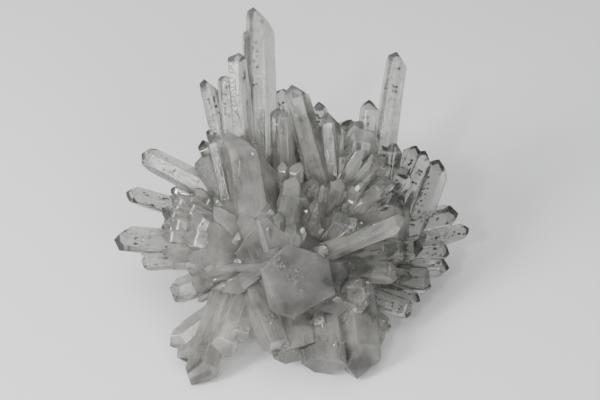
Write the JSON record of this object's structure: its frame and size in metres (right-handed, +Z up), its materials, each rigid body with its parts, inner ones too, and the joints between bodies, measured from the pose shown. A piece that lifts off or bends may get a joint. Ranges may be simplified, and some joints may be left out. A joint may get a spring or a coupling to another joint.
{
  "type": "quartz cluster",
  "caption": "Free-standing cluster of clear to milky quartz crystals that radiate from one heart and rests on a small flat spot.",
  "frame": {"origin": "on the resting plane under the middle of the cluster's box", "axes": "+X to the right seen from the front, +Y to the back, +Z up"},
  "size_m": [0.0884, 0.0748, 0.0622],
  "materials": {
    "quartz": "natural crystal faces, clear at the tips and milky at the roots"
  },
  "bodies": {
    "root": {"quartz_cluster": "quartz"}
  },
  "joints": []
}
